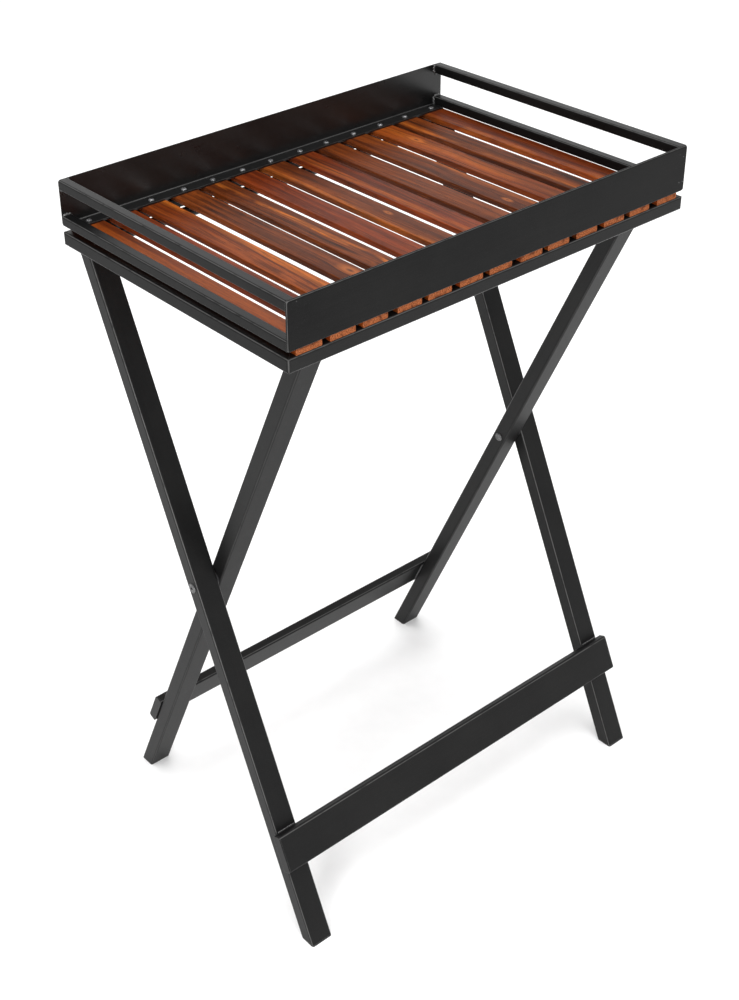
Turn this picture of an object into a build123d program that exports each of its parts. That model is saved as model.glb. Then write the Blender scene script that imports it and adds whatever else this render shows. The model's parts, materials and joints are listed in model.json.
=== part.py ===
from build123d import *
import os
from math import cos, radians, sin, tan

# Folding tray table. Millimetres, +Z up, floor at z = 0.
# X runs along the long side, Y across it; the front long side is at -Y.
# Shapes are drawn about the tray's centre and moved to the stand's centre on export.

# Overall
table_length = 520.0
table_width = 360.0
table_height = 784.0

# Tray: two folded sheet sides, square tube end rails, wooden slats
panel_height = 49.4
panel_sheet = 2.0
panel_flange = 18.0
panel_bend_radius = 1.2
panel_corner_radius = 3.2
rail_side = 11.0
rail_wall = 1.2
rail_corner_radius = 2.0
slat_thickness = 6.2
slat_width = 29.7
slat_end_inset = 1.5
slat_edge_radius = 1.1
slat_gaps = [8.6, 8.1, 11.6, 7.7, 10.1, 8.6, 11.6, 7.8, 10.2, 10.2, 8.2, 12.1]
screw_inset = 12.0
screw_head_diameter = 6.4
screw_head_height = 1.8
screw_shank_diameter = 3.0
screw_bite = 5.4

# Top frame: steel angle, upright leg outside and flat leg on top
angle_height = 14.6
angle_flange = 12.4
angle_thickness = 2.4
angle_edge_radius = 2.2
angle_corner_radius = 3.0

# Leg frames: rectangular tube, seen from the end they cross as an X
leg_lean = 24.54
leg_width = 27.0
leg_depth = 18.0
leg_wall = 1.5
leg_corner_radius = 2.4
outer_leg_inset = 7.0
leg_side_gap = 1.2
hinge_drop = 9.4
pivot_height = 380.0
stand_shift = 2.8
leg_top_plug = 16.0
crossbar_diameter = 12.0
crossbar_wall = 1.5

# Stretchers: flat tube welded across the outer faces of the legs near the feet
stretcher_height = 43.0
stretcher_depth = 11.0
stretcher_wall = 1.5
stretcher_corner_radius = 2.6
stretcher_drop = 305.3
stretcher_cap = 1.5
outer_stretcher_overhang = 4.7
inner_stretcher_overhang = 1.5

# Feet
foot_pad = 1.6
foot_stem = 12.0
foot_stem_clearance = 0.1

# Scissor pivots: tubular rivets through both legs
rivet_diameter = 8.0
rivet_bore = 3.2
rivet_bore_depth = 9.0
rivet_head_diameter = 11.0
rivet_head_height = 1.3
rivet_collar_diameter = 10.0
rivet_collar_height = 1.2
washer_diameter = 17.0
running_clearance = 0.05
side_play = 0.1

# Hinge saddles on the back bar and catches for the inner crossbar
saddle_thickness = 4.0
saddle_radius = 8.4
saddle_offset = 205.0
catch_plate_length = 30.0
catch_lip = 2.4
catch_lip_height = 13.0
catch_gap = 0.5

# Derived levels
half_length = table_length / 2
half_width = table_width / 2
tray_bottom = table_height - panel_height
frame_top = tray_bottom - slat_thickness
frame_bottom = frame_top - angle_height
flange_underside = frame_top - angle_thickness
hinge_height = flange_underside - hinge_drop
top_reach = (hinge_height - pivot_height) / cos(radians(leg_lean))
hinge_offset = (hinge_height - pivot_height) * tan(radians(leg_lean))
hinge_y = stand_shift + hinge_offset
catch_y = stand_shift - hinge_offset
outer_leg_x = half_length - outer_leg_inset - leg_width / 2
inner_leg_x = outer_leg_x - leg_width - leg_side_gap
outer_stand = Location((0, stand_shift, pivot_height), (-leg_lean, 0, 0))
inner_stand = Location((0, stand_shift, pivot_height), (leg_lean, 0, 0))

nodes = {}


def block(x_low, x_high, y_low, y_high, z_low, z_high):
    """Box given by its limits on each axis."""
    size = (x_high - x_low, y_high - y_low, z_high - z_low)
    centre = ((x_low + x_high) / 2, (y_low + y_high) / 2, (z_low + z_high) / 2)
    return Pos(*centre) * Box(*size)


def rod(diameter, length):
    """Round bar along X, centred on the origin."""
    return Rot(0, 90, 0) * Cylinder(diameter / 2, length)


def rounded_bar(width, depth, corner, low, high):
    """Solid bar along Z with rounded corners, between two heights."""
    return Pos(0, 0, low) * extrude(RectangleRounded(width, depth, corner), high - low)


def hollow_bar(width, depth, wall, corner, low, high):
    """Hollow tube along Z with rounded corners, between two heights."""
    shell = rounded_bar(width, depth, corner, low, high)
    bore = rounded_bar(width - 2 * wall, depth - 2 * wall, corner - wall, low - 1, high + 1)
    return shell - bore


def side_panel(side):
    """Long tray side: upright sheet with a flange turned in under its foot."""
    outer = half_width
    inner = half_width - panel_sheet
    upright = block(-half_length, half_length, inner, outer, tray_bottom, table_height)
    flange_end = half_length - rail_side
    flange_inner = half_width - panel_flange
    flange_top = tray_bottom + panel_sheet
    flange = block(-flange_end, flange_end, flange_inner, outer, tray_bottom, flange_top)
    corners = upright.edges().filter_by(Axis.Y)
    upright = fillet(corners, panel_corner_radius)
    panel = upright + flange
    foot_edges = panel.edges().filter_by(Axis.X)
    foot_edges = foot_edges.filter_by_position(Axis.Z, tray_bottom - 0.1, tray_bottom + 0.1)
    foot_edges = foot_edges.filter_by_position(Axis.Y, outer - 0.1, outer + 0.1)
    panel = fillet(foot_edges, panel_sheet * 0.9)
    bend = panel.edges().filter_by(Axis.X).filter_by_position(Axis.Y, inner - 0.1, inner + 0.1)
    bend = bend.filter_by_position(Axis.Z, flange_top - 0.1, flange_top + 0.1)
    panel = fillet(bend, panel_bend_radius)
    for x in slat_centres():
        panel -= Pos(x, half_width - screw_inset, tray_bottom) * Cylinder(screw_shank_diameter / 2, 12)
    return panel if side > 0 else mirror(panel, Plane.XZ)


def slat_centres():
    """Centres of the slats along X, spread evenly about the middle."""
    total = slat_width * (len(slat_gaps) + 1) + sum(slat_gaps)
    centres = [-total / 2 + slat_width / 2]
    for gap in slat_gaps:
        centres.append(centres[-1] + slat_width + gap)
    return centres


def slat(x):
    """One wooden slat with eased long edges and two screw bores."""
    reach = half_width - slat_end_inset
    board = block(x - slat_width / 2, x + slat_width / 2, -reach, reach, frame_top, tray_bottom)
    board = fillet(board.edges().filter_by(Axis.Y), slat_edge_radius)
    for side in (-1, 1):
        bore = Cylinder(screw_shank_diameter / 2, screw_bite, align=(Align.CENTER, Align.CENTER, Align.MAX))
        board -= Pos(x, side * (half_width - screw_inset), tray_bottom) * bore
    return board


def slat_screw(x, side):
    """Domed screw through the side flange into a slat."""
    seat = tray_bottom + panel_sheet
    up = (Align.CENTER, Align.CENTER, Align.MIN)
    head = Cylinder(screw_head_diameter / 2, screw_head_height, align=up)
    head = fillet(head.edges().sort_by(Axis.Z)[-1], screw_head_height * 0.75)
    shank = Cylinder(screw_shank_diameter / 2, screw_bite + panel_sheet, align=up)
    screw = head + Pos(0, 0, -screw_bite - panel_sheet) * shank
    return Pos(x, side * (half_width - screw_inset), seat) * screw


def end_rail(side, low):
    """Square tube between the two long sides, flush with their ends."""
    reach = half_width - panel_sheet
    bar = hollow_bar(rail_side, rail_side, rail_wall, rail_corner_radius, -reach, reach)
    x = side * (half_length - rail_side / 2)
    return Pos(x, 0, low + rail_side / 2) * Rot(-90, 0, 0) * bar


def angle_bar(length, offset):
    """Angle steel along X with mitred ends, its outer face at y = -offset, its corners ground round."""
    outer = -offset
    reach = length / 2
    upright = block(-reach, reach, outer, outer + angle_thickness, frame_bottom, frame_top)
    shelf = block(-reach, reach, outer, outer + angle_flange, flange_underside, frame_top)
    bar = upright + shelf
    edges = bar.edges().filter_by(Axis.X).filter_by_position(Axis.Y, outer - 0.1, outer + 0.1)
    bar = fillet(edges, angle_edge_radius)
    for end in (-1, 1):
        cutter = Pos(end * reach, outer, frame_bottom) * Rot(0, 0, end * 45)
        bar -= cutter * block(0 if end > 0 else -40, 40 if end > 0 else 0, -40, 40, -5, 40)
    outline = extrude(RectangleRounded(length, 2 * offset, angle_corner_radius), angle_height + 2)
    return bar & Pos(0, 0, frame_bottom - 1) * outline


def leg_blank(top):
    """Rectangular tube leg along Z, pivot at the origin, rounded closed top."""
    low = -(pivot_height + 60)
    shaft = rounded_bar(leg_width, leg_depth, leg_corner_radius, low, top + leg_depth / 2)
    crown = Pos(0, 0, top) * rod(leg_depth, leg_width)
    below = block(-leg_width, leg_width, -leg_depth, leg_depth, low, top)
    bore = rounded_bar(
        leg_width - 2 * leg_wall,
        leg_depth - 2 * leg_wall,
        leg_corner_radius - leg_wall,
        low - 1,
        top - leg_top_plug,
    )
    return (shaft & (below + crown)) - bore


def leg(stand, x, bore_diameter):
    """Leg set on its lean, cut level above the foot pad, bored for the pivot rivet."""
    blank = leg_blank(top_reach) - rod(bore_diameter, leg_width + 2)
    ground = block(-300, 300, -600, 600, -400, foot_pad)
    return stand * Pos(x, 0, 0) * blank - ground


def foot_plug(stand, x):
    """Moulded foot: a pad the size of the leg and a stem up inside it."""
    low = -(pivot_height + 60)
    high = -(pivot_height - 80)
    cavity = 2 * (leg_wall + foot_stem_clearance)
    corner = leg_corner_radius - leg_wall
    pad = rounded_bar(leg_width, leg_depth, leg_corner_radius, low, high)
    stem = rounded_bar(leg_width - cavity, leg_depth - cavity, corner, low, high)
    pad = (stand * Pos(x, 0, 0) * pad) & block(-300, 300, -600, 600, 0, foot_pad)
    stem = (stand * Pos(x, 0, 0) * stem) & block(-300, 300, -600, 600, 0, foot_pad + foot_stem)
    return pad + stem


def crossbar(stand, x):
    """Round tube between the tops of two legs."""
    length = 2 * (x - leg_width / 2)
    bar = rod(crossbar_diameter, length) - rod(crossbar_diameter - 2 * crossbar_wall, length + 2)
    return stand * Pos(0, 0, top_reach) * bar


def stretcher_parts(stand, side, x, overhang):
    """Flat tube across the legs, with its two end caps, on the face given by side."""
    reach = x + leg_width / 2 + overhang
    place = stand * Pos(0, side * (leg_depth + stretcher_depth) / 2, -stretcher_drop) * Rot(0, 90, 0)
    size = (stretcher_height, stretcher_depth, stretcher_wall, stretcher_corner_radius)
    tube = place * hollow_bar(*size, -reach + stretcher_cap, reach - stretcher_cap)
    caps = []
    for low in (-reach, reach - stretcher_cap):
        outline = (stretcher_height, stretcher_depth, stretcher_corner_radius)
        caps.append(place * rounded_bar(*outline, low, low + stretcher_cap))
    return tube, caps


def pivot_rivet(side):
    """Low headed tubular rivet from the outer leg's outer face through the inner leg."""
    outer_face = outer_leg_x + leg_width / 2
    inner_face = inner_leg_x - leg_width / 2 - side_play
    top = outer_face + rivet_head_height
    shank = Pos((outer_face + inner_face) / 2, 0, 0) * rod(rivet_diameter, outer_face - inner_face)
    head = Pos(top - rivet_head_height / 2, 0, 0) * rod(rivet_head_diameter, rivet_head_height)
    head = fillet(head.edges().sort_by(Axis.X)[-1], rivet_head_height * 0.7)
    rivet = shank + head - Pos(top - rivet_bore_depth / 2, 0, 0) * rod(rivet_bore, rivet_bore_depth)
    rivet = Pos(0, stand_shift, pivot_height) * rivet
    return rivet if side > 0 else mirror(rivet, Plane.YZ)


def rivet_collar(side):
    """Low domed collar closing the rivet on the inner leg's inside face."""
    x = inner_leg_x - leg_width / 2 - side_play - rivet_collar_height / 2
    collar = Pos(x, 0, 0) * rod(rivet_collar_diameter, rivet_collar_height)
    collar = fillet(collar.edges().sort_by(Axis.X)[0], rivet_collar_height * 0.7)
    collar = Pos(0, stand_shift, pivot_height) * collar
    return collar if side > 0 else mirror(collar, Plane.YZ)


def pivot_washer(side):
    """Spacer washer between the outer and the inner leg."""
    thickness = leg_side_gap - side_play
    ring = rod(washer_diameter, thickness) - rod(rivet_diameter, thickness + 2)
    x = outer_leg_x - leg_width / 2 - thickness / 2
    return Pos(side * x, stand_shift, pivot_height) * ring


def hinge_saddle(side):
    """Plate welded to the back bar that carries the outer crossbar in a bore."""
    inner_face = half_width - angle_thickness
    half = saddle_thickness / 2
    tongue_low = hinge_height - 3
    tongue = block(-half, half, hinge_y, inner_face, tongue_low, flange_underside)
    plate = tongue + Pos(0, hinge_y, hinge_height) * rod(2 * saddle_radius, saddle_thickness)
    bore = crossbar_diameter + 2 * running_clearance
    plate -= Pos(0, hinge_y, hinge_height) * rod(bore, saddle_thickness + 2)
    return Pos(side * saddle_offset, 0, 0) * plate


def crossbar_catch(side):
    """Plate beside the end bar, resting over an inner leg top, with a stop lip."""
    stop = catch_y - leg_depth / 2 - catch_gap
    inner = inner_leg_x - leg_width / 2
    outer = half_length - angle_flange
    plate = block(inner, outer, stop, stop + catch_plate_length, flange_underside, frame_top)
    lip = block(inner, outer, stop - catch_lip, stop, frame_top - catch_lip_height, frame_top)
    catch = plate + lip
    return catch if side > 0 else mirror(catch, Plane.YZ)


# Tray
nodes["tray_panel_front"] = side_panel(-1)
nodes["tray_panel_back"] = side_panel(1)
for name, side in (("left", -1), ("right", 1)):
    nodes["tray_top_rail_" + name] = end_rail(side, table_height - rail_side)
    nodes["tray_bottom_rail_" + name] = end_rail(side, tray_bottom)
for number, x in enumerate(slat_centres(), start=1):
    nodes[f"slat_{number:02d}"] = slat(x)
for name, side in (("front", -1), ("back", 1)):
    nodes["slat_screws_" + name] = Compound([slat_screw(x, side) for x in slat_centres()])

# Top frame
nodes["frame_bar_front"] = angle_bar(table_length, half_width)
nodes["frame_bar_back"] = Rot(0, 0, 180) * angle_bar(table_length, half_width)
nodes["frame_bar_left"] = Rot(0, 0, -90) * angle_bar(table_width, half_length)
nodes["frame_bar_right"] = Rot(0, 0, 90) * angle_bar(table_width, half_length)
for name, side in (("left", -1), ("right", 1)):
    nodes["hinge_saddle_" + name] = hinge_saddle(side)
    nodes["crossbar_catch_" + name] = crossbar_catch(side)

# Outer leg frame
rivet_fit = rivet_diameter + 2 * running_clearance
for name, side in (("left", -1), ("right", 1)):
    nodes["outer_leg_" + name] = leg(outer_stand, side * outer_leg_x, rivet_diameter)
    nodes["inner_leg_" + name] = leg(inner_stand, side * inner_leg_x, rivet_fit)
nodes["outer_crossbar"] = crossbar(outer_stand, outer_leg_x)
tube, caps = stretcher_parts(outer_stand, -1, outer_leg_x, outer_stretcher_overhang)
nodes["outer_stretcher"] = tube
nodes["outer_stretcher_caps"] = Compound(caps)
nodes["outer_foot_plugs"] = Compound([foot_plug(outer_stand, s * outer_leg_x) for s in (-1, 1)])
nodes["pivot_rivets"] = Compound([pivot_rivet(s) for s in (-1, 1)])
nodes["pivot_collars"] = Compound([rivet_collar(s) for s in (-1, 1)])
nodes["pivot_washers"] = Compound([pivot_washer(s) for s in (-1, 1)])

# Inner leg frame
nodes["inner_crossbar"] = crossbar(inner_stand, inner_leg_x)
tube, caps = stretcher_parts(inner_stand, 1, inner_leg_x, inner_stretcher_overhang)
nodes["inner_stretcher"] = tube
nodes["inner_stretcher_caps"] = Compound(caps)
nodes["inner_foot_plugs"] = Compound([foot_plug(inner_stand, s * inner_leg_x) for s in (-1, 1)])

os.makedirs("parts", exist_ok=True)
for name, shape in nodes.items():
    export_step(Pos(0, -stand_shift, 0) * shape, f"parts/{name}.step")
print(len(nodes), "parts; hinge line at y", round(hinge_offset, 2), "z", round(hinge_height, 2))
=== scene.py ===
import json
import math

import bmesh
import bpy
from mathutils import Matrix, Vector


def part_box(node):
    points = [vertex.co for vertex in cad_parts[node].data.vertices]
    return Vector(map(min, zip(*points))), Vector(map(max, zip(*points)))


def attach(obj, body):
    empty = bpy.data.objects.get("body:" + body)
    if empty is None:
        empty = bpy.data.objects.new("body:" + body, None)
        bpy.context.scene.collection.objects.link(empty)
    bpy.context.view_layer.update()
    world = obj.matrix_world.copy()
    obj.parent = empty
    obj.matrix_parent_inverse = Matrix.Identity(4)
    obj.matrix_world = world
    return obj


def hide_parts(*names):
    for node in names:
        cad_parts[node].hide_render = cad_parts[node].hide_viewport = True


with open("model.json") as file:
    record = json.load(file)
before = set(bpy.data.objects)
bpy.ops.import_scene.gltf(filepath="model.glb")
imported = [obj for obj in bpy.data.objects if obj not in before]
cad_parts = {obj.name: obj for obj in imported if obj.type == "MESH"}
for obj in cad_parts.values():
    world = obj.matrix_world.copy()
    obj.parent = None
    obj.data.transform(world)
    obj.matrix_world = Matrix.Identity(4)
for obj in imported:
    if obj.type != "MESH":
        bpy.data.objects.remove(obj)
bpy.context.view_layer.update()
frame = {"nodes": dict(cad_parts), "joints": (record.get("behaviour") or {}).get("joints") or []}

# Folding tray table. Metres, +Z up, floor at z = 0, front long side at -Y.

mm = 0.001
tray_slats = [f"slat_{number:02d}" for number in range(1, 14)]
left_and_right = ("left", "right")
joint_places = {
    joint["name"]: Vector(joint["pos_m"]) for joint in frame["joints"] if joint.get("pos_m")
}
pivot = joint_places["leg_scissor"]
hinge = joint_places["top_frame_hinge"]
lean = math.atan2(hinge.y - pivot.y, hinge.z - pivot.z)
top_reach = math.hypot(hinge.y - pivot.y, hinge.z - pivot.z)

slat_ease = 1.1 * mm
slat_wander = 0.06 * mm
sheet_thickness = 2.0 * mm
screw_shank_radius = 1.5 * mm
rail_corner = 2.0 * mm
angle_thickness = 2.4 * mm
leg_depth = 18.0 * mm
leg_bead_inset = 3.0 * mm
crossbar_radius = 6.0 * mm
stretcher_height = 43.0 * mm
stretcher_drop = 305.3 * mm
bead_pitch = 1.0 * mm
floor_radius = 60.0


# Node wiring, shared by the finishes and the shapes


class Wire:
    """One socket of a node tree. Arithmetic on it adds Math nodes."""

    def __init__(self, board, socket):
        self.board = board
        self.socket = socket

    def __add__(self, other):
        return self.board.math("ADD", self, other)

    def __radd__(self, other):
        return self.board.math("ADD", other, self)

    def __sub__(self, other):
        return self.board.math("SUBTRACT", self, other)

    def __rsub__(self, other):
        return self.board.math("SUBTRACT", other, self)

    def __mul__(self, other):
        return self.board.math("MULTIPLY", self, other)

    def __rmul__(self, other):
        return self.board.math("MULTIPLY", other, self)

    def __truediv__(self, other):
        return self.board.math("DIVIDE", self, other)

    def __abs__(self):
        return self.board.math("ABSOLUTE", self)


class Board:
    """A node tree being wired up."""

    def __init__(self, tree):
        self.tree = tree

    def node(self, kind, settings=None, inputs=None, output=0):
        """A new node with its settings made first, then its inputs; returns one output."""
        made = self.tree.nodes.new(kind)
        for name, value in (settings or {}).items():
            setattr(made, name, value)
        for name, value in (inputs or {}).items():
            self.connect(value, made.inputs[name])
        return Wire(self, made.outputs[output])

    def connect(self, value, socket):
        """Links a wire to a socket, or sets a plain value on it."""
        if isinstance(value, Wire):
            self.tree.links.new(value.socket, socket)
        else:
            socket.default_value = value

    def math(self, operation, *values):
        return self.node("ShaderNodeMath", {"operation": operation}, dict(enumerate(values)))

    def point(self, x, y, z):
        """A vector from three numbers or wires."""
        return self.node("ShaderNodeCombineXYZ", None, {"X": x, "Y": y, "Z": z})

    def parts_of(self, vector):
        """The X, Y and Z of a vector."""
        made = self.tree.nodes.new("ShaderNodeSeparateXYZ")
        self.connect(vector, made.inputs[0])
        return [Wire(self, output) for output in made.outputs]

    def ramp(self, value, low, high):
        """Rises smoothly from 0 to 1 while value goes from low to high."""
        return self.node(
            "ShaderNodeMapRange",
            {"interpolation_type": "SMOOTHSTEP"},
            {"Value": value, "From Min": low, "From Max": high},
        )


class Finish(Board):
    """A material being mixed. Patterns are laid out in metres on the piece itself."""

    def __init__(self, name, **constants):
        self.material = bpy.data.materials.new(name)
        self.material.use_nodes = True
        super().__init__(self.material.node_tree)
        self.shader = self.tree.nodes["Principled BSDF"]
        for socket, value in constants.items():
            self.shader.inputs[socket.replace("_", " ")].default_value = value

    def place(self):
        return self.node("ShaderNodeTexCoord", None, None, "Object")

    def facing(self):
        return self.node("ShaderNodeTexCoord", None, None, "Normal")

    def noise(self, vector, scale, detail=2.0, roughness=0.5):
        inputs = {"Vector": vector, "Scale": scale, "Detail": detail, "Roughness": roughness}
        return self.node("ShaderNodeTexNoise", {"noise_dimensions": "3D"}, inputs)

    def tint(self, amount, under, over):
        """One colour laid over another."""
        settings = {"data_type": "RGBA", "clamp_factor": True}
        return self.node("ShaderNodeMix", settings, {0: amount, 6: under, 7: over}, 2)

    def relief(self, height, depth, strength=1.0, normal=None):
        inputs = {"Height": height, "Distance": depth, "Strength": strength}
        if normal is not None:
            inputs["Normal"] = normal
        return self.node("ShaderNodeBump", None, inputs)

    def lay(self, colour=None, roughness=None, normal=None, metallic=None):
        """Feeds what varies over the surface to the shader and returns the material."""
        sockets = {
            "Base Color": colour,
            "Roughness": roughness,
            "Normal": normal,
            "Metallic": metallic,
        }
        for name, value in sockets.items():
            if value is not None:
                self.connect(value, self.shader.inputs[name])
        return self.material


def rgb(red, green, blue):
    return (red, green, blue, 1.0)


# Finishes


def powder_coat(name, film, gloss, shine, peel_size, run, tilt=0.0, arris_highlight=0.8):
    """Satin black powder coat over drawn steel.

    Orange peel and slow drift of the film, faint drawing lines showing through along run (turned
    about X by tilt), arrises painted paler (partly thinner film, partly a painted highlight), dust
    and a few rubbed places. film is its deep and light colour, shine the strength of its mirror
    reflection, and the last argument how strongly the arrises are painted paler as a highlight.
    """
    finish = Finish(name, Specular_IOR_Level=shine)
    dark, light = film
    place = finish.place()
    peel = finish.noise(place, 1 / peel_size, 3.0, 0.55)
    grit = finish.noise(place, 2400, 1.0)
    drift = finish.noise(place, 11, 3.0, 0.6)
    handling = finish.noise(place, 60, 4.0, 0.65)
    stretch = tuple(14 if part else 1300 for part in run)
    turned = finish.node("ShaderNodeMapping", None, {"Vector": place, "Rotation": (tilt, 0.0, 0.0)})
    stretched = finish.node("ShaderNodeMapping", None, {"Vector": turned, "Scale": stretch})
    drawn = finish.noise(stretched, 1.0, 3.0, 0.6)

    rounded = finish.node("ShaderNodeBevel", {"samples": 4}, {"Radius": 0.6 * mm})
    flat = finish.node("ShaderNodeNewGeometry", None, None, "Normal")
    agreement = finish.node(
        "ShaderNodeVectorMath", {"operation": "DOT_PRODUCT"}, {0: rounded, 1: flat}, "Value"
    )
    facing = finish.node(
        "ShaderNodeMapping", None, {"Vector": finish.facing(), "Rotation": (tilt, 0.0, 0.0)}
    )
    facing_x, facing_y, facing_z = (abs(part) for part in finish.parts_of(facing))
    largest = finish.math("MAXIMUM", facing_x, finish.math("MAXIMUM", facing_y, facing_z))
    sharp_arris = finish.ramp(1 - agreement, 0.012, 0.2)
    round_arris = finish.ramp(1 - largest, 0.1, 0.26)
    arris = finish.math("MAXIMUM", sharp_arris, round_arris) * finish.ramp(handling, 0.2, 0.55)

    colour = finish.tint(finish.ramp(drift * 0.6 + drawn * 0.4, 0.35, 0.65), rgb(*dark), rgb(*light))
    colour = finish.tint(finish.ramp(grit, 0.64, 0.76) * 0.4, colour, rgb(0.05, 0.05, 0.051))
    # Painted highlight: the arrises are tinted paler to stand in for the light they catch, partly a
    # thinner film there
    colour = finish.tint(arris * arris_highlight, colour, rgb(0.085, 0.084, 0.083))
    rubbed = finish.ramp(handling, 0.58, 0.78)
    roughness = gloss + drift * 0.06 + peel * 0.07 + drawn * 0.08 - rubbed * 0.05 - arris * 0.1
    height = peel + grit * 0.3 + drawn * 0.5
    return finish.lay(colour, roughness, finish.relief(height, 0.05 * mm, 0.5, rounded))


def oiled_wood(number, centre, tones, streaks=0.5, sapwood=None, knot=None):
    """Oiled hardwood with its grain along the slat.

    tones: deep and light colour of the figure. streaks: strength of the dark heartwood lines.
    sapwood: (across, width, strength) of a pale band, in metres. knot: (across, along, size).
    """
    deep, light = tones
    finish = Finish(f"oiled_slat_{number:02d}", Specular_IOR_Level=0.065)
    x, y, z = finish.parts_of(finish.place())
    seed = number * 7.31
    across = x - centre
    sway = finish.noise(finish.point(seed, y * 4.2, 0.0), 1.0, 2.0) - 0.5
    across = across + sway * 0.016
    if knot is not None:
        knot_x, knot_y, size = knot
        aside = (x - (centre + knot_x)) / size
        along = (y - knot_y) / (size * 2.6)
        reach = finish.math("SQRT", aside * aside + along * along + 0.02)
        swirl = 1 - finish.ramp(reach, 0.0, 2.2)
        across = across + swirl * aside * (-1.25 * size)
    depth = z * 0.8

    figure = finish.noise(finish.point(across * 75 + seed, y * 2.6, depth * 75), 1.0, 3.0, 0.5)
    lines = finish.noise(finish.point(across * 36 + seed, y * 1.7 + seed, depth * 36), 1.0, 1.0, 0.4)
    rings = finish.math("PINGPONG", lines * 17, 1.0)
    heart = finish.noise(finish.point(across * 190 + seed, y * 3.2, depth * 190), 1.0, 4.0, 0.65)
    fibre = finish.noise(finish.point(across * 900, y * 15, z * 900 + seed), 1.0, 4.0, 0.7)
    pores = finish.noise(finish.point(across * 1700, y * 70, z * 1700 + seed), 1.0, 1.0)
    mottle = finish.noise(finish.point(across * 34 + seed, y * 16, depth * 34), 1.0, 3.0, 0.6)

    colour = finish.tint(finish.ramp(figure, 0.36, 0.62), rgb(*deep), rgb(*light))
    if sapwood is not None:
        band_x, width, strength = sapwood
        band = 1 - finish.ramp(abs(across - band_x), width * 0.35, width)
        band = band * finish.ramp(mottle + figure * 0.3, 0.42, 0.72)
        colour = finish.tint(band * strength, colour, rgb(0.42, 0.11, 0.012))
    dark_heart = finish.ramp(heart, 0.5, 0.66) * finish.ramp(mottle, 0.32, 0.56)
    colour = finish.tint(dark_heart * min(1.0, streaks * 1.15), colour, rgb(0.018, 0.005, 0.0022))
    ring_line = finish.ramp(rings, 0.55, 0.95) * (0.2 + streaks * 0.4)
    colour = finish.tint(ring_line, colour, rgb(0.027, 0.007, 0.0025))
    colour = finish.tint(finish.ramp(fibre, 0.52, 0.68) * 0.3, colour, rgb(0.35, 0.085, 0.014))
    colour = finish.tint(finish.ramp(1 - fibre, 0.5, 0.66) * 0.5, colour, rgb(0.03, 0.008, 0.003))
    colour = finish.tint(finish.ramp(pores, 0.6, 0.7) * 0.6, colour, rgb(0.017, 0.005, 0.0025))
    if knot is not None:
        halo = 1 - finish.ramp(reach, 0.25, 1.5)
        eye = 1 - finish.ramp(reach, 0.12, 0.55)
        colour = finish.tint(halo * 0.6, colour, rgb(0.42, 0.12, 0.025))
        colour = finish.tint(eye * 0.85, colour, rgb(0.035, 0.01, 0.006))

    normal_y = abs(finish.parts_of(finish.facing())[1])
    cut_end = finish.ramp(normal_y, 0.6, 0.9)
    vessels = finish.noise(finish.point(x * 700, 0.0, z * 1500), 1.0, 3.0, 0.65)
    open_vessels = finish.ramp(vessels, 0.38, 0.62)
    end_grain = finish.tint(open_vessels, rgb(0.11, 0.028, 0.01), rgb(0.4, 0.125, 0.045))
    burnt = finish.noise(finish.point(x * 120 + seed, 0.0, z * 160), 1.0, 2.0)
    end_grain = finish.tint(finish.ramp(burnt, 0.5, 0.7) * 0.7, end_grain, rgb(0.045, 0.012, 0.006))
    colour = finish.tint(cut_end, colour, end_grain)

    roughness = 0.36 + fibre * 0.14 + mottle * 0.1 + cut_end * 0.2
    height = fibre * 0.7 - finish.ramp(pores, 0.6, 0.75) * 0.8 + rings * 0.15
    return finish.lay(colour, roughness, finish.relief(height, 0.09 * mm, 0.6))


def blackened_steel(name, base, worn, gloss):
    """Black coated fastener steel: fine scuffs, bright rubbed patches."""
    finish = Finish(name, Specular_IOR_Level=0.5)
    place = finish.place()
    scuff = finish.noise(place, 900, 3.0, 0.6)
    patch = finish.noise(place, 240, 2.0)
    rub = finish.ramp(scuff + patch * 0.4, 0.6, 0.95)
    colour = finish.tint(rub, rgb(*base), rgb(*worn))
    roughness = gloss + scuff * 0.16
    return finish.lay(colour, roughness, finish.relief(scuff, 0.04 * mm, 0.5), 0.35 + rub * 0.5)


def moulded(name, dark, light, gloss, grain_size):
    """Moulded plastic with a fine spark eroded grain."""
    finish = Finish(name, Specular_IOR_Level=0.4)
    place = finish.place()
    grain = finish.noise(place, 1 / grain_size, 2.0, 0.6)
    cloud = finish.noise(place, 90, 2.0)
    colour = finish.tint(finish.ramp(cloud, 0.3, 0.7), rgb(*dark), rgb(*light))
    colour = finish.tint(finish.ramp(grain, 0.6, 0.8) * 0.3, colour, rgb(0.05, 0.05, 0.05))
    return finish.lay(colour, gloss + grain * 0.15, finish.relief(grain, 0.06 * mm, 0.6))


def studio_floor():
    """Pale matt floor sheet with a barely visible tooth."""
    finish = Finish("pale_floor_sheet", Specular_IOR_Level=0.1)
    place = finish.place()
    tooth = finish.noise(place, 40, 3.0)
    colour = finish.tint(finish.ramp(tooth, 0.3, 0.7), rgb(0.93, 0.93, 0.93), rgb(0.945, 0.945, 0.945))
    return finish.lay(colour, 0.8 + tooth * 0.1)


# Shapes


def new_tree(name, sockets):
    """An empty shape tree with named inputs; returns the board and its inputs as wires."""
    tree = bpy.data.node_groups.new(name, "GeometryNodeTree")
    for socket_name, kind in sockets:
        tree.interface.new_socket(socket_name, in_out="INPUT", socket_type=kind)
    tree.interface.new_socket("Geometry", in_out="OUTPUT", socket_type="NodeSocketGeometry")
    board = Board(tree)
    group_in = tree.nodes.new("NodeGroupInput")
    return board, {name: Wire(board, group_in.outputs[name]) for name, _ in sockets}


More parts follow.
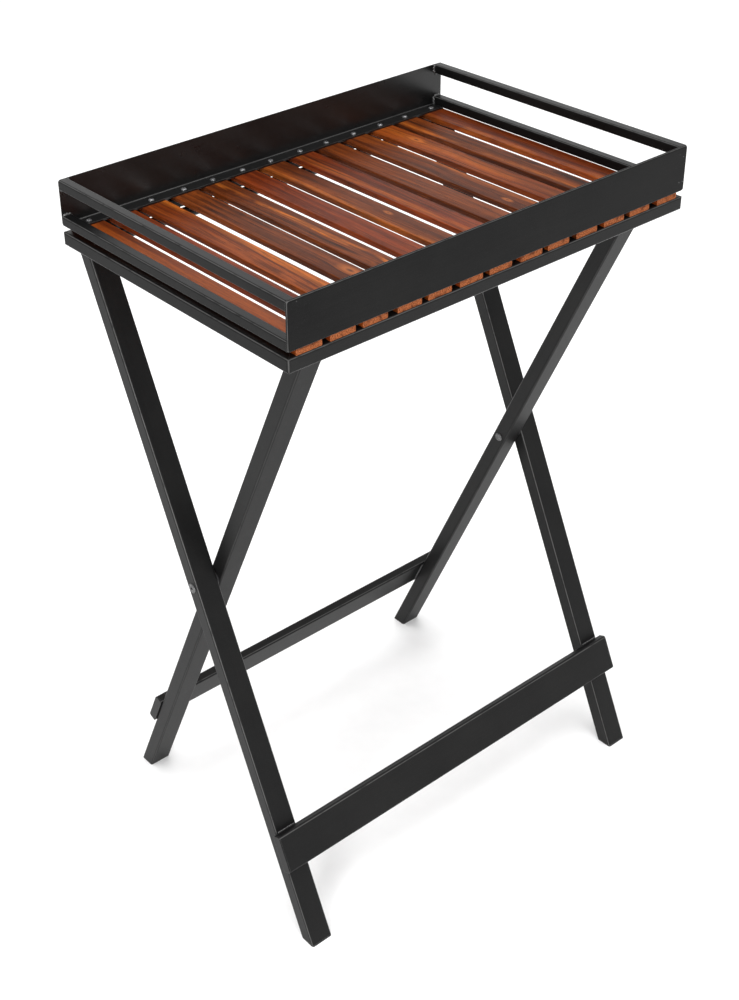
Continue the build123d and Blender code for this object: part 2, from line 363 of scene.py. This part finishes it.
def close_tree(board, geometry, material):
    """Ends a tree: real geometry, with its finish on."""
    real = board.node("GeometryNodeRealizeInstances", None, {0: geometry})
    painted = board.node("GeometryNodeSetMaterial", None, {"Geometry": real, "Material": material})
    board.connect(painted, board.tree.nodes.new("NodeGroupOutput").inputs[0])
    return board.tree


def grow(name, tree, values, body, start=None):
    """Runs a tree on a start mesh and keeps the plain mesh it gives as a piece of a body."""
    seed_mesh = start or bpy.data.meshes.new(name + "_start")
    source = bpy.data.objects.new(name + "_source", seed_mesh)
    bpy.context.scene.collection.objects.link(source)
    modifier = source.modifiers.new("grow", "NODES")
    modifier.node_group = tree
    for socket in tree.interface.items_tree:
        if socket.in_out == "INPUT" and socket.name in values:
            modifier[socket.identifier] = values[socket.name]
    source.update_tag()
    graph = bpy.context.evaluated_depsgraph_get()
    graph.update()
    mesh = bpy.data.meshes.new_from_object(source.evaluated_get(graph))
    source.modifiers.clear()
    bpy.data.objects.remove(source)
    return piece(name, mesh, body)


def piece(name, mesh, body):
    """A finished piece in its place, riding on its body."""
    mesh.name = name
    made = bpy.data.objects.new(name, mesh)
    bpy.context.scene.collection.objects.link(made)
    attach(made, body)
    return made


def board_tree():
    """A planed slat along Y: eased edges that wander a little, as hand sanding leaves them."""
    board, given = new_tree(
        "planed_slat",
        [
            ("Geometry", "NodeSocketGeometry"),
            ("Centre", "NodeSocketVector"),
            ("Width", "NodeSocketFloat"),
            ("Length", "NodeSocketFloat"),
            ("Thickness", "NodeSocketFloat"),
            ("Ease", "NodeSocketFloat"),
            ("Wander", "NodeSocketFloat"),
            ("Seed", "NodeSocketFloat"),
            ("Finish", "NodeSocketMaterial"),
        ],
    )
    half = given["Length"] * 0.5
    spine = board.node(
        "GeometryNodeCurvePrimitiveLine",
        None,
        {"Start": board.point(0.0, 0.0, half * -1.0), "End": board.point(0.0, 0.0, half)},
    )
    spine = board.node("GeometryNodeResampleCurve", None, {"Curve": spine, "Count": 96})
    outline = board.node(
        "GeometryNodeCurvePrimitiveQuadrilateral",
        None,
        {
            "Width": given["Width"] - given["Wander"] * 2,
            "Height": given["Thickness"] - given["Wander"] * 2,
        },
    )
    outline = board.node(
        "GeometryNodeFilletCurve",
        {"mode": "POLY"},
        {"Curve": outline, "Radius": given["Ease"], "Count": 5, "Limit Radius": True},
    )
    solid = board.node(
        "GeometryNodeCurveToMesh", None, {"Curve": spine, "Profile Curve": outline, "Fill Caps": True}
    )
    position = board.node("GeometryNodeInputPosition")
    x, y, z = board.parts_of(position)
    wave_at = board.point(x * 40 + given["Seed"], y * 90, z * 22)
    wave = board.node("ShaderNodeTexNoise", None, {"Vector": wave_at, "Scale": 1.0, "Detail": 2.0}, 1)
    drift = board.node(
        "ShaderNodeVectorMath", {"operation": "SUBTRACT"}, {0: wave, 1: (0.5, 0.5, 0.5)}
    )
    drift_x, drift_y, _ = board.parts_of(drift)
    reach = given["Wander"] * 1.6
    offset = board.point(drift_x * reach, drift_y * reach, 0.0)
    solid = board.node("GeometryNodeSetPosition", None, {"Geometry": solid, "Offset": offset})
    solid = board.node(
        "GeometryNodeTransform",
        None,
        {"Geometry": solid, "Translation": given["Centre"], "Rotation": (math.radians(90), 0.0, 0.0)},
    )
    facing_x, facing_y, facing_z = board.parts_of(board.node("GeometryNodeInputNormal"))
    largest = board.math("MAXIMUM", abs(facing_x), board.math("MAXIMUM", abs(facing_y), abs(facing_z)))
    on_arris = board.node("FunctionNodeCompare", {"operation": "LESS_THAN"}, {0: largest, 1: 0.995})
    solid = board.node(
        "GeometryNodeSetShadeSmooth", None, {0: solid, "Selection": on_arris, "Shade Smooth": True}
    )
    return close_tree(board, solid, given["Finish"])


def bead_tree():
    """Weld bead along a path: overlapping flattened puddles, each a little different."""
    board, given = new_tree(
        "weld_bead",
        [
            ("Geometry", "NodeSocketGeometry"),
            ("Throat", "NodeSocketFloat"),
            ("Pitch", "NodeSocketFloat"),
            ("Seed", "NodeSocketInt"),
            ("Finish", "NodeSocketMaterial"),
        ],
    )
    path = board.node("GeometryNodeMeshToCurve", None, {"Mesh": given["Geometry"]})
    path = board.node(
        "GeometryNodeResampleCurve", {"mode": "LENGTH"}, {"Curve": path, "Length": given["Pitch"]}
    )
    puddle = board.node(
        "GeometryNodeMeshUVSphere", None, {"Segments": 9, "Rings": 5, "Radius": given["Throat"]}
    )
    puddle = board.node("GeometryNodeSetShadeSmooth", None, {0: puddle, "Shade Smooth": True})
    along = board.node("GeometryNodeInputTangent")
    turn = board.node("FunctionNodeAlignRotationToVector", {"axis": "Z"}, {"Vector": along})
    size = board.node(
        "FunctionNodeRandomValue",
        {"data_type": "FLOAT_VECTOR"},
        {0: (0.6, 0.6, 0.55), 1: (1.25, 1.25, 1.05), "Seed": given["Seed"]},
    )
    beads = board.node(
        "GeometryNodeInstanceOnPoints",
        None,
        {"Points": path, "Instance": puddle, "Rotation": turn, "Scale": size},
    )
    return close_tree(board, beads, given["Finish"])


def screw_row_tree():
    """A row of screws: one screw set on every point, each turned its own way."""
    board, given = new_tree(
        "screw_row",
        [
            ("Geometry", "NodeSocketGeometry"),
            ("Screw", "NodeSocketObject"),
            ("Seed", "NodeSocketInt"),
            ("Finish", "NodeSocketMaterial"),
        ],
    )
    screw = board.node("GeometryNodeObjectInfo", None, {"Object": given["Screw"]}, "Geometry")
    turned = board.node(
        "FunctionNodeRandomValue",
        {"data_type": "FLOAT_VECTOR"},
        {0: (0.0, 0.0, 0.0), 1: (0.0, 0.0, math.tau), "Seed": given["Seed"]},
    )
    row = board.node(
        "GeometryNodeInstanceOnPoints",
        None,
        {"Points": given["Geometry"], "Instance": screw, "Rotation": turned},
    )
    return close_tree(board, row, given["Finish"])


def screw_mesh(head_radius, head_height, shank_radius, shank_length):
    """Domed wood screw with a cross recess, its head's seat at the origin."""
    around = 32
    shaft = bmesh.new()

    def ring(height, radius_at):
        made = []
        for step in range(around):
            angle = math.tau * step / around
            radius = radius_at(step)
            made.append(shaft.verts.new((radius * math.cos(angle), radius * math.sin(angle), height)))
        return made

    def plain(radius):
        return lambda step: radius

    def cross(step):
        return head_radius * (0.5 if step % 8 in (7, 0, 1) else 0.17)

    rings = [ring(-shank_length, plain(shank_radius * 0.6))]
    rings.append(ring(-shank_length * 0.85, plain(shank_radius)))
    rings.append(ring(0.0, plain(shank_radius)))
    rings.append(ring(0.0, plain(head_radius * 0.97)))
    for turn in range(0, 6):
        lift = math.radians(6 + 13 * turn)
        dome = plain(head_radius * math.cos(lift * 0.72))
        rings.append(ring(head_height * math.sin(lift) * 0.985, dome))
    rings.append(ring(head_height * 0.97, cross))
    rings.append(ring(head_height * 0.35, lambda step: cross(step) * 0.72))
    for lower, upper in zip(rings, rings[1:]):
        for step in range(around):
            after = (step + 1) % around
            shaft.faces.new((lower[step], lower[after], upper[after], upper[step]))
    shaft.faces.new(list(reversed(rings[0])))
    shaft.faces.new(rings[-1])
    bmesh.ops.recalc_face_normals(shaft, faces=shaft.faces)
    mesh = bpy.data.meshes.new("screw")
    shaft.to_mesh(mesh)
    shaft.free()
    mesh.shade_smooth()
    mesh.set_sharp_from_angle(angle=math.radians(38))
    return mesh


def points_mesh(name, points):
    """Loose points, as the start of a tree."""
    mesh = bpy.data.meshes.new(name)
    mesh.from_pydata([tuple(point) for point in points], [], [])
    return mesh


def paths_mesh(name, paths):
    """Open paths, each a list of points, as the start of a tree."""
    corners, edges = [], []
    for path in paths:
        first = len(corners)
        corners.extend(tuple(point) for point in path)
        edges.extend((first + step, first + step + 1) for step in range(len(path) - 1))
    mesh = bpy.data.meshes.new(name)
    mesh.from_pydata(corners, edges, [])
    return mesh


# Tray slats

slat_tones = {
    "orange": ((0.11, 0.018, 0.002), (0.215, 0.044, 0.0055)),
    "red": ((0.083, 0.0115, 0.002), (0.175, 0.0275, 0.004)),
    "brown": ((0.055, 0.0105, 0.0018), (0.142, 0.031, 0.005)),
    "amber": ((0.068, 0.013, 0.0018), (0.165, 0.035, 0.004)),
}
slat_looks = [
    ("orange", 0.25, None, None),
    ("red", 0.4, None, None),
    ("orange", 0.55, (0.011, 0.007, 0.7), None),
    ("brown", 0.8, None, (0.004, -0.095, 0.006)),
    ("amber", 0.95, (0.002, 0.0045, 1.0), None),
    ("red", 0.3, None, None),
    ("brown", 0.35, (-0.012, 0.004, 0.4), (0.004, -0.02, 0.0024)),
    ("red", 0.7, (-0.010, 0.006, 0.35), None),
    ("brown", 0.3, None, None),
    ("brown", 0.55, (0.012, 0.005, 0.45), (-0.004, -0.078, 0.0028)),
    ("orange", 0.75, (0.004, 0.008, 0.3), (0.003, 0.108, 0.0045)),
    ("brown", 1.0, (-0.008, 0.004, 0.5), None),
    ("red", 0.4, (-0.012, 0.006, 0.4), None),
]

planed_slat = board_tree()
for number, (name, (tone, streaks, sapwood, knot)) in enumerate(zip(tray_slats, slat_looks), start=1):
    low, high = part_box(name)
    middle = (low + high) / 2
    finish = oiled_wood(number, middle.x, slat_tones[tone], streaks, sapwood, knot)
    slat = grow(
        name + "_board",
        planed_slat,
        {
            "Centre": tuple(middle),
            "Width": high.x - low.x,
            "Length": high.y - low.y,
            "Thickness": high.z - low.z,
            "Ease": slat_ease,
            "Wander": slat_wander,
            "Seed": float(number) * 3.1,
            "Finish": finish,
        },
        "tray",
    )
    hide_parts(name)

# Painted metal

film = ((0.0038, 0.0038, 0.0039), (0.0068, 0.0067, 0.0066))
# The weld film is much paler than the black film: a painted highlight standing in for the glints on
# the beads
weld_film_painted_glint = ((0.03, 0.03, 0.031), (0.1, 0.1, 0.102))
along_x, along_y, along_z = (1, 0, 0), (0, 1, 0), (0, 0, 1)
front_paint = powder_coat("black_powder_front_sheet", film, 0.27, 0.09, 1.1 * mm, along_x)
back_paint = powder_coat("black_powder_back_sheet", film, 0.2, 0.5, 1.1 * mm, along_x)
bar_paint = powder_coat("black_powder_bar", film, 0.33, 0.17, 0.9 * mm, along_x)
rail_paint = powder_coat("black_powder_rail", film, 0.28, 0.085, 0.9 * mm, along_y)
outer_paint = powder_coat("black_powder_outer_leg", film, 0.34, 0.17, 0.9 * mm, along_z, lean)
inner_paint = powder_coat("black_powder_inner_leg", film, 0.34, 0.145, 0.9 * mm, along_z, -lean, 0.25)
weld_paint = powder_coat("black_powder_weld", weld_film_painted_glint, 0.12, 0.6, 0.7 * mm, along_x)
screw_finish = blackened_steel("black_screw_steel", (0.05, 0.05, 0.052), (0.5, 0.5, 0.51), 0.18)
pivot_finish = blackened_steel("black_pivot_steel", (0.035, 0.035, 0.036), (0.24, 0.24, 0.24), 0.3)
washer_finish = moulded("nylon_washer", (0.02, 0.02, 0.021), (0.032, 0.032, 0.033), 0.42, 0.4 * mm)
foot_finish = moulded("moulded_foot", (0.008, 0.008, 0.008), (0.016, 0.016, 0.016), 0.5, 0.5 * mm)

node_finishes = {
    "tray_panel_front": front_paint,
    "tray_panel_back": back_paint,
    "frame_bar_left": rail_paint,
    "frame_bar_right": rail_paint,
    "outer_leg_left": outer_paint,
    "outer_leg_right": outer_paint,
    "inner_leg_left": inner_paint,
    "inner_leg_right": inner_paint,
    "pivot_rivets": pivot_finish,
    "pivot_collars": pivot_finish,
    "pivot_washers": washer_finish,
    "outer_foot_plugs": foot_finish,
    "inner_foot_plugs": foot_finish,
}
for name, node in frame["nodes"].items():
    for slot in node.material_slots:
        slot.material = node_finishes.get(name, rail_paint if "_rail_" in name else bar_paint)

# Slat screws

screw_row = screw_row_tree()
for side, seed in (("front", 3), ("back", 8)):
    row_name = "slat_screws_" + side
    low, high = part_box(row_name)
    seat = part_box("tray_panel_" + side)[0].z + sheet_thickness
    head_radius = (high.y - low.y) / 2
    mesh = screw_mesh(head_radius, high.z - seat, screw_shank_radius, seat - low.z)
    screw = bpy.data.objects.new("screw_pattern", mesh)
    points = []
    for name in tray_slats:
        slat_low, slat_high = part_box(name)
        points.append(((slat_low.x + slat_high.x) / 2, (low.y + high.y) / 2, seat))
    values = {"Screw": screw, "Seed": seed, "Finish": screw_finish}
    row = grow(row_name + "_set", screw_row, values, "tray", points_mesh(row_name, points))
    bpy.data.objects.remove(screw)
    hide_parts(row_name)

# Weld beads


def tray_welds():
    """Beads where the end rails meet the inside of the long sides."""
    paths = []
    for side in left_and_right:
        for level in ("top", "bottom"):
            low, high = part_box(f"tray_{level}_rail_{side}")
            inner_x = low.x if side == "right" else high.x
            outer_x = high.x if side == "right" else low.x
            step_out = 1 if side == "right" else -1
            for y in (low.y, high.y):
                upper = Vector((inner_x, y, high.z - rail_corner))
                lower = Vector((inner_x, y, low.z + rail_corner * 1.1))
                paths.append([upper, lower])
                z = low.z if level == "top" else high.z
                start = Vector((inner_x + step_out * rail_corner, y, z))
                paths.append([start, Vector((outer_x - step_out * rail_corner * 1.25, y, z))])
    return paths


def frame_welds():
    """Beads along the mitres under the angle frame and beside the hinge saddles."""
    paths = []
    front_low, front_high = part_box("frame_bar_front")
    _, back_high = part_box("frame_bar_back")
    under = front_high.z - angle_thickness
    set_in = angle_thickness + 0.8 * mm
    flange = front_high.y - front_low.y
    for corner_x, turn_x in ((front_low.x, 1), (front_high.x, -1)):
        for corner_y, turn_y in ((front_low.y, 1), (back_high.y, -1)):
            start = Vector((corner_x + turn_x * set_in, corner_y + turn_y * set_in, under))
            end = Vector((corner_x + turn_x * flange, corner_y + turn_y * flange, under))
            paths.append([start, end])
    for side in left_and_right:
        low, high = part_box("hinge_saddle_" + side)
        for x in (low.x, high.x):
            start = Vector((x, high.y - 16 * mm, high.z))
            paths.append([start, Vector((x, high.y - 2 * mm, high.z))])
    return paths


def leg_frame_welds(kind, turn):
    """Beads of one leg frame: the stretcher on the legs, and the crossbar between them.

    turn is 1 for the frame that leans back and -1 for the one that leans forward; the stretcher
    lies on the face away from the other frame's feet.
    """
    stand = Matrix.Translation(pivot) @ Matrix.Rotation(-turn * lean, 4, "X")
    paths = []
    for side in left_and_right:
        low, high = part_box(f"{kind}_leg_{side}")
        face_y = -turn * leg_depth / 2
        for edge in (-1, 1):
            z = -stretcher_drop + edge * stretcher_height / 2
            start = Vector((low.x + leg_bead_inset, face_y, z))
            paths.append([stand @ start, stand @ Vector((high.x - leg_bead_inset, face_y, z))])
        inner_x = high.x if side == "left" else low.x
        start = Vector((inner_x, face_y, -stretcher_drop - stretcher_height / 2 + 5 * mm))
        end = Vector((inner_x, face_y, -stretcher_drop + stretcher_height / 2 - 5 * mm))
        paths.append([stand @ start, stand @ end])
        ring = []
        for step in range(25):
            angle = math.tau * step / 24
            y = crossbar_radius * math.cos(angle)
            z = top_reach + crossbar_radius * math.sin(angle)
            ring.append(stand @ Vector((inner_x, y, z)))
        paths.append(ring)
    return paths


weld_bead = bead_tree()
for name, body, paths, throat, seed in (
    ("tray_weld_beads", "tray", tray_welds(), 1.9 * mm, 11),
    ("frame_weld_beads", "top_frame", frame_welds(), 0.9 * mm, 12),
    ("outer_leg_weld_beads", "outer_legs", leg_frame_welds("outer", 1), 1.0 * mm, 13),
    ("inner_leg_weld_beads", "inner_legs", leg_frame_welds("inner", -1), 1.0 * mm, 14),
):
    values = {"Throat": throat, "Pitch": bead_pitch, "Seed": seed, "Finish": weld_paint}
    grow(name, weld_bead, values, body, paths_mesh(name, paths))

# Studio

floor_mesh = bpy.data.meshes.new("floor")
sheet = bmesh.new()
bmesh.ops.create_circle(sheet, cap_ends=True, radius=floor_radius, segments=96)
sheet.to_mesh(floor_mesh)
sheet.free()
floor_mesh.materials.append(studio_floor())
floor = bpy.data.objects.new("floor", floor_mesh)
bpy.context.scene.collection.objects.link(floor)

world = bpy.data.worlds.new("studio")
world.use_nodes = True
world.node_tree.nodes["Background"].inputs["Color"].default_value = rgb(1.0, 1.0, 1.0)
world.node_tree.nodes["Background"].inputs["Strength"].default_value = 0.68
bpy.context.scene.world = world
bpy.context.scene.view_settings.view_transform = "Standard"

table_middle = Vector((0.0, 0.0, 0.55))


def softbox(name, direction, distance, width, height, power):
    """Large soft light facing the middle of the table."""
    lamp = bpy.data.lights.new(name, "AREA")
    lamp.shape = "RECTANGLE"
    lamp.size = width
    lamp.size_y = height
    lamp.energy = power
    light = bpy.data.objects.new(name, lamp)
    away = Vector(direction).normalized()
    light.location = table_middle + away * distance
    light.rotation_mode = "QUATERNION"
    light.rotation_quaternion = away.to_track_quat("Z", "Y")
    light.visible_camera = False
    bpy.context.scene.collection.objects.link(light)


softbox("back_softbox", (0.53, 0.68, 0.5), 3.6, 2.6, 1.8, 30.0)
softbox("left_softbox", (-0.95, 0.25, 0.28), 3.0, 2.4, 2.0, 3.0)
softbox("front_left_strip", (-0.82, -0.55, 0.08), 2.8, 0.7, 1.3, 45.0)
softbox("overhead_softbox", (-0.15, -0.2, 1.0), 3.4, 4.2, 4.2, 158.0)

# Camera

camera_data = bpy.data.cameras.new("camera")
camera_data.sensor_width = 36.0
camera_data.lens = 57.29
camera_data.shift_x = 0.0796
camera_data.shift_y = -0.1022
camera_data.clip_end = 200.0
camera = bpy.data.objects.new("camera", camera_data)
bpy.context.scene.collection.objects.link(camera)
turn, tilt, roll = (math.radians(angle) for angle in (-38.085, 30.236, -1.889))
back = Vector((math.sin(turn) * math.cos(tilt), -math.cos(turn) * math.cos(tilt), math.sin(tilt)))
right = Vector((math.cos(turn), math.sin(turn), 0.0))
up = back.cross(right)
axis_x = right * math.cos(roll) + up * math.sin(roll)
axis_y = up * math.cos(roll) - right * math.sin(roll)
aim = Matrix((axis_x, axis_y, back)).transposed().to_4x4()
camera.matrix_world = Matrix.Translation((-0.98993, -1.11486, 1.38175)) @ aim
bpy.context.scene.camera = camera
